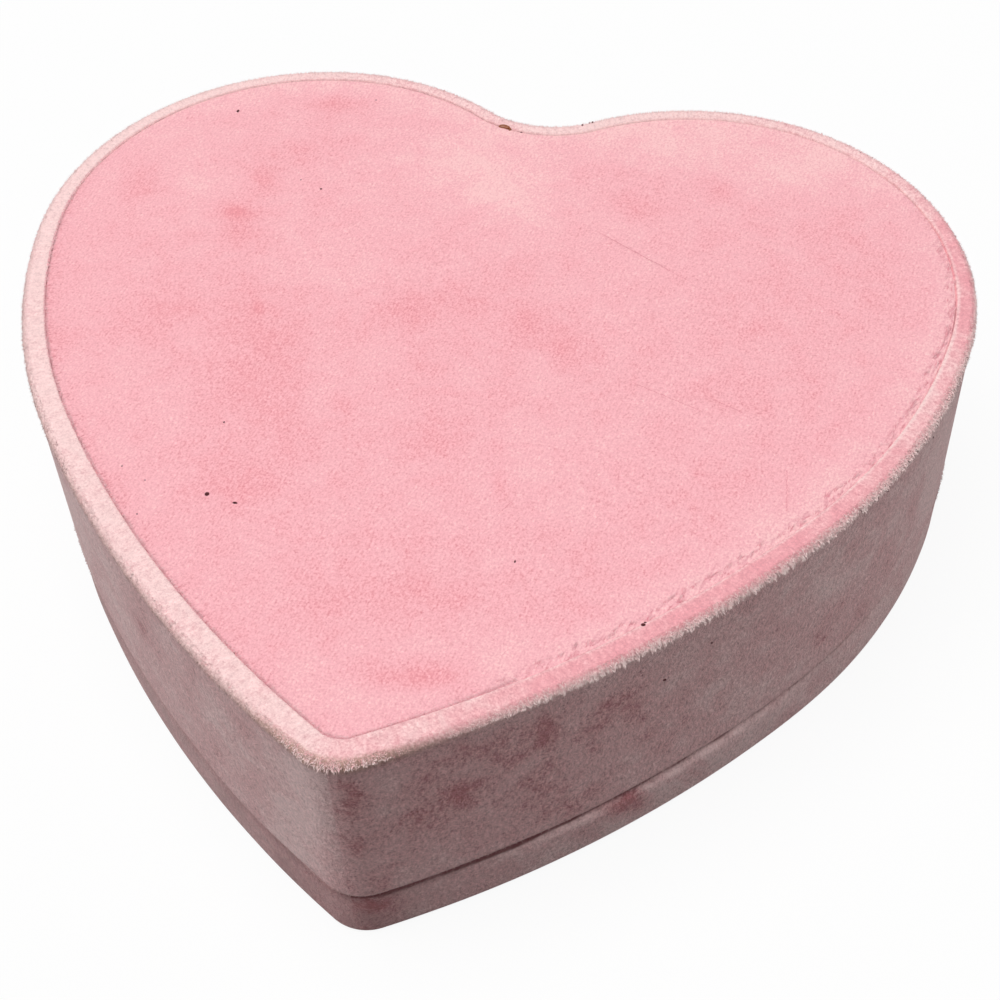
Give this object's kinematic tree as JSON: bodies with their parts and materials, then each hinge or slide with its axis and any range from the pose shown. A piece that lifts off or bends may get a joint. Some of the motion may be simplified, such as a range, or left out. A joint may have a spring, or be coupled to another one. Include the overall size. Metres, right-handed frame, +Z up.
{
  "type": "heart gift box",
  "caption": "Heart-shaped rigid gift box covered in pink velvet, with a deep lift-off lid over a shallow base whose raised neck guides it.",
  "frame": {"origin": "middle of the heart's footprint, on the surface that the box stands on", "axes": "+Z up, +Y from the heart's tip to its cleft, +X to the right seen with the tip towards the viewer"},
  "size_m": [0.2, 0.1866, 0.058],
  "materials": {
    "pink_velvet": "matte",
    "panel_velvet": "matte",
    "floor_velvet": "matte",
    "greyboard": "matte",
    "cover_card": "matte",
    "gummed_tape": "matte",
    "lining_paper": "matte",
    "wadding": "matte",
    "foam": "matte"
  },
  "bodies": {
    "base": {"bottom_cover": "cover_card", "base_floor_board": "greyboard", "base_wall_board": "greyboard", "base_stay_tape": "gummed_tape", "base_wall_velvet": "pink_velvet", "neck_board": "greyboard", "neck_stay_tape": "gummed_tape", "neck_lining": "lining_paper", "floor_card": "greyboard", "floor_foam": "foam", "floor_velvet": "floor_velvet"},
    "lid": {"lid_wall_board": "greyboard", "lid_stay_tape": "gummed_tape", "lid_top_board": "greyboard", "lid_wall_velvet": "pink_velvet", "lid_wall_lining": "lining_paper", "lid_ceiling_lining": "lining_paper", "panel_card": "greyboard", "panel_wadding": "wadding", "panel_velvet": "panel_velvet"}
  },
  "joints": [
    {"name": "lid_lift", "type": "slide", "parent": "base", "child": "lid", "axis": [0, 0, 1], "range_m": [0, 0.1]}
  ]
}
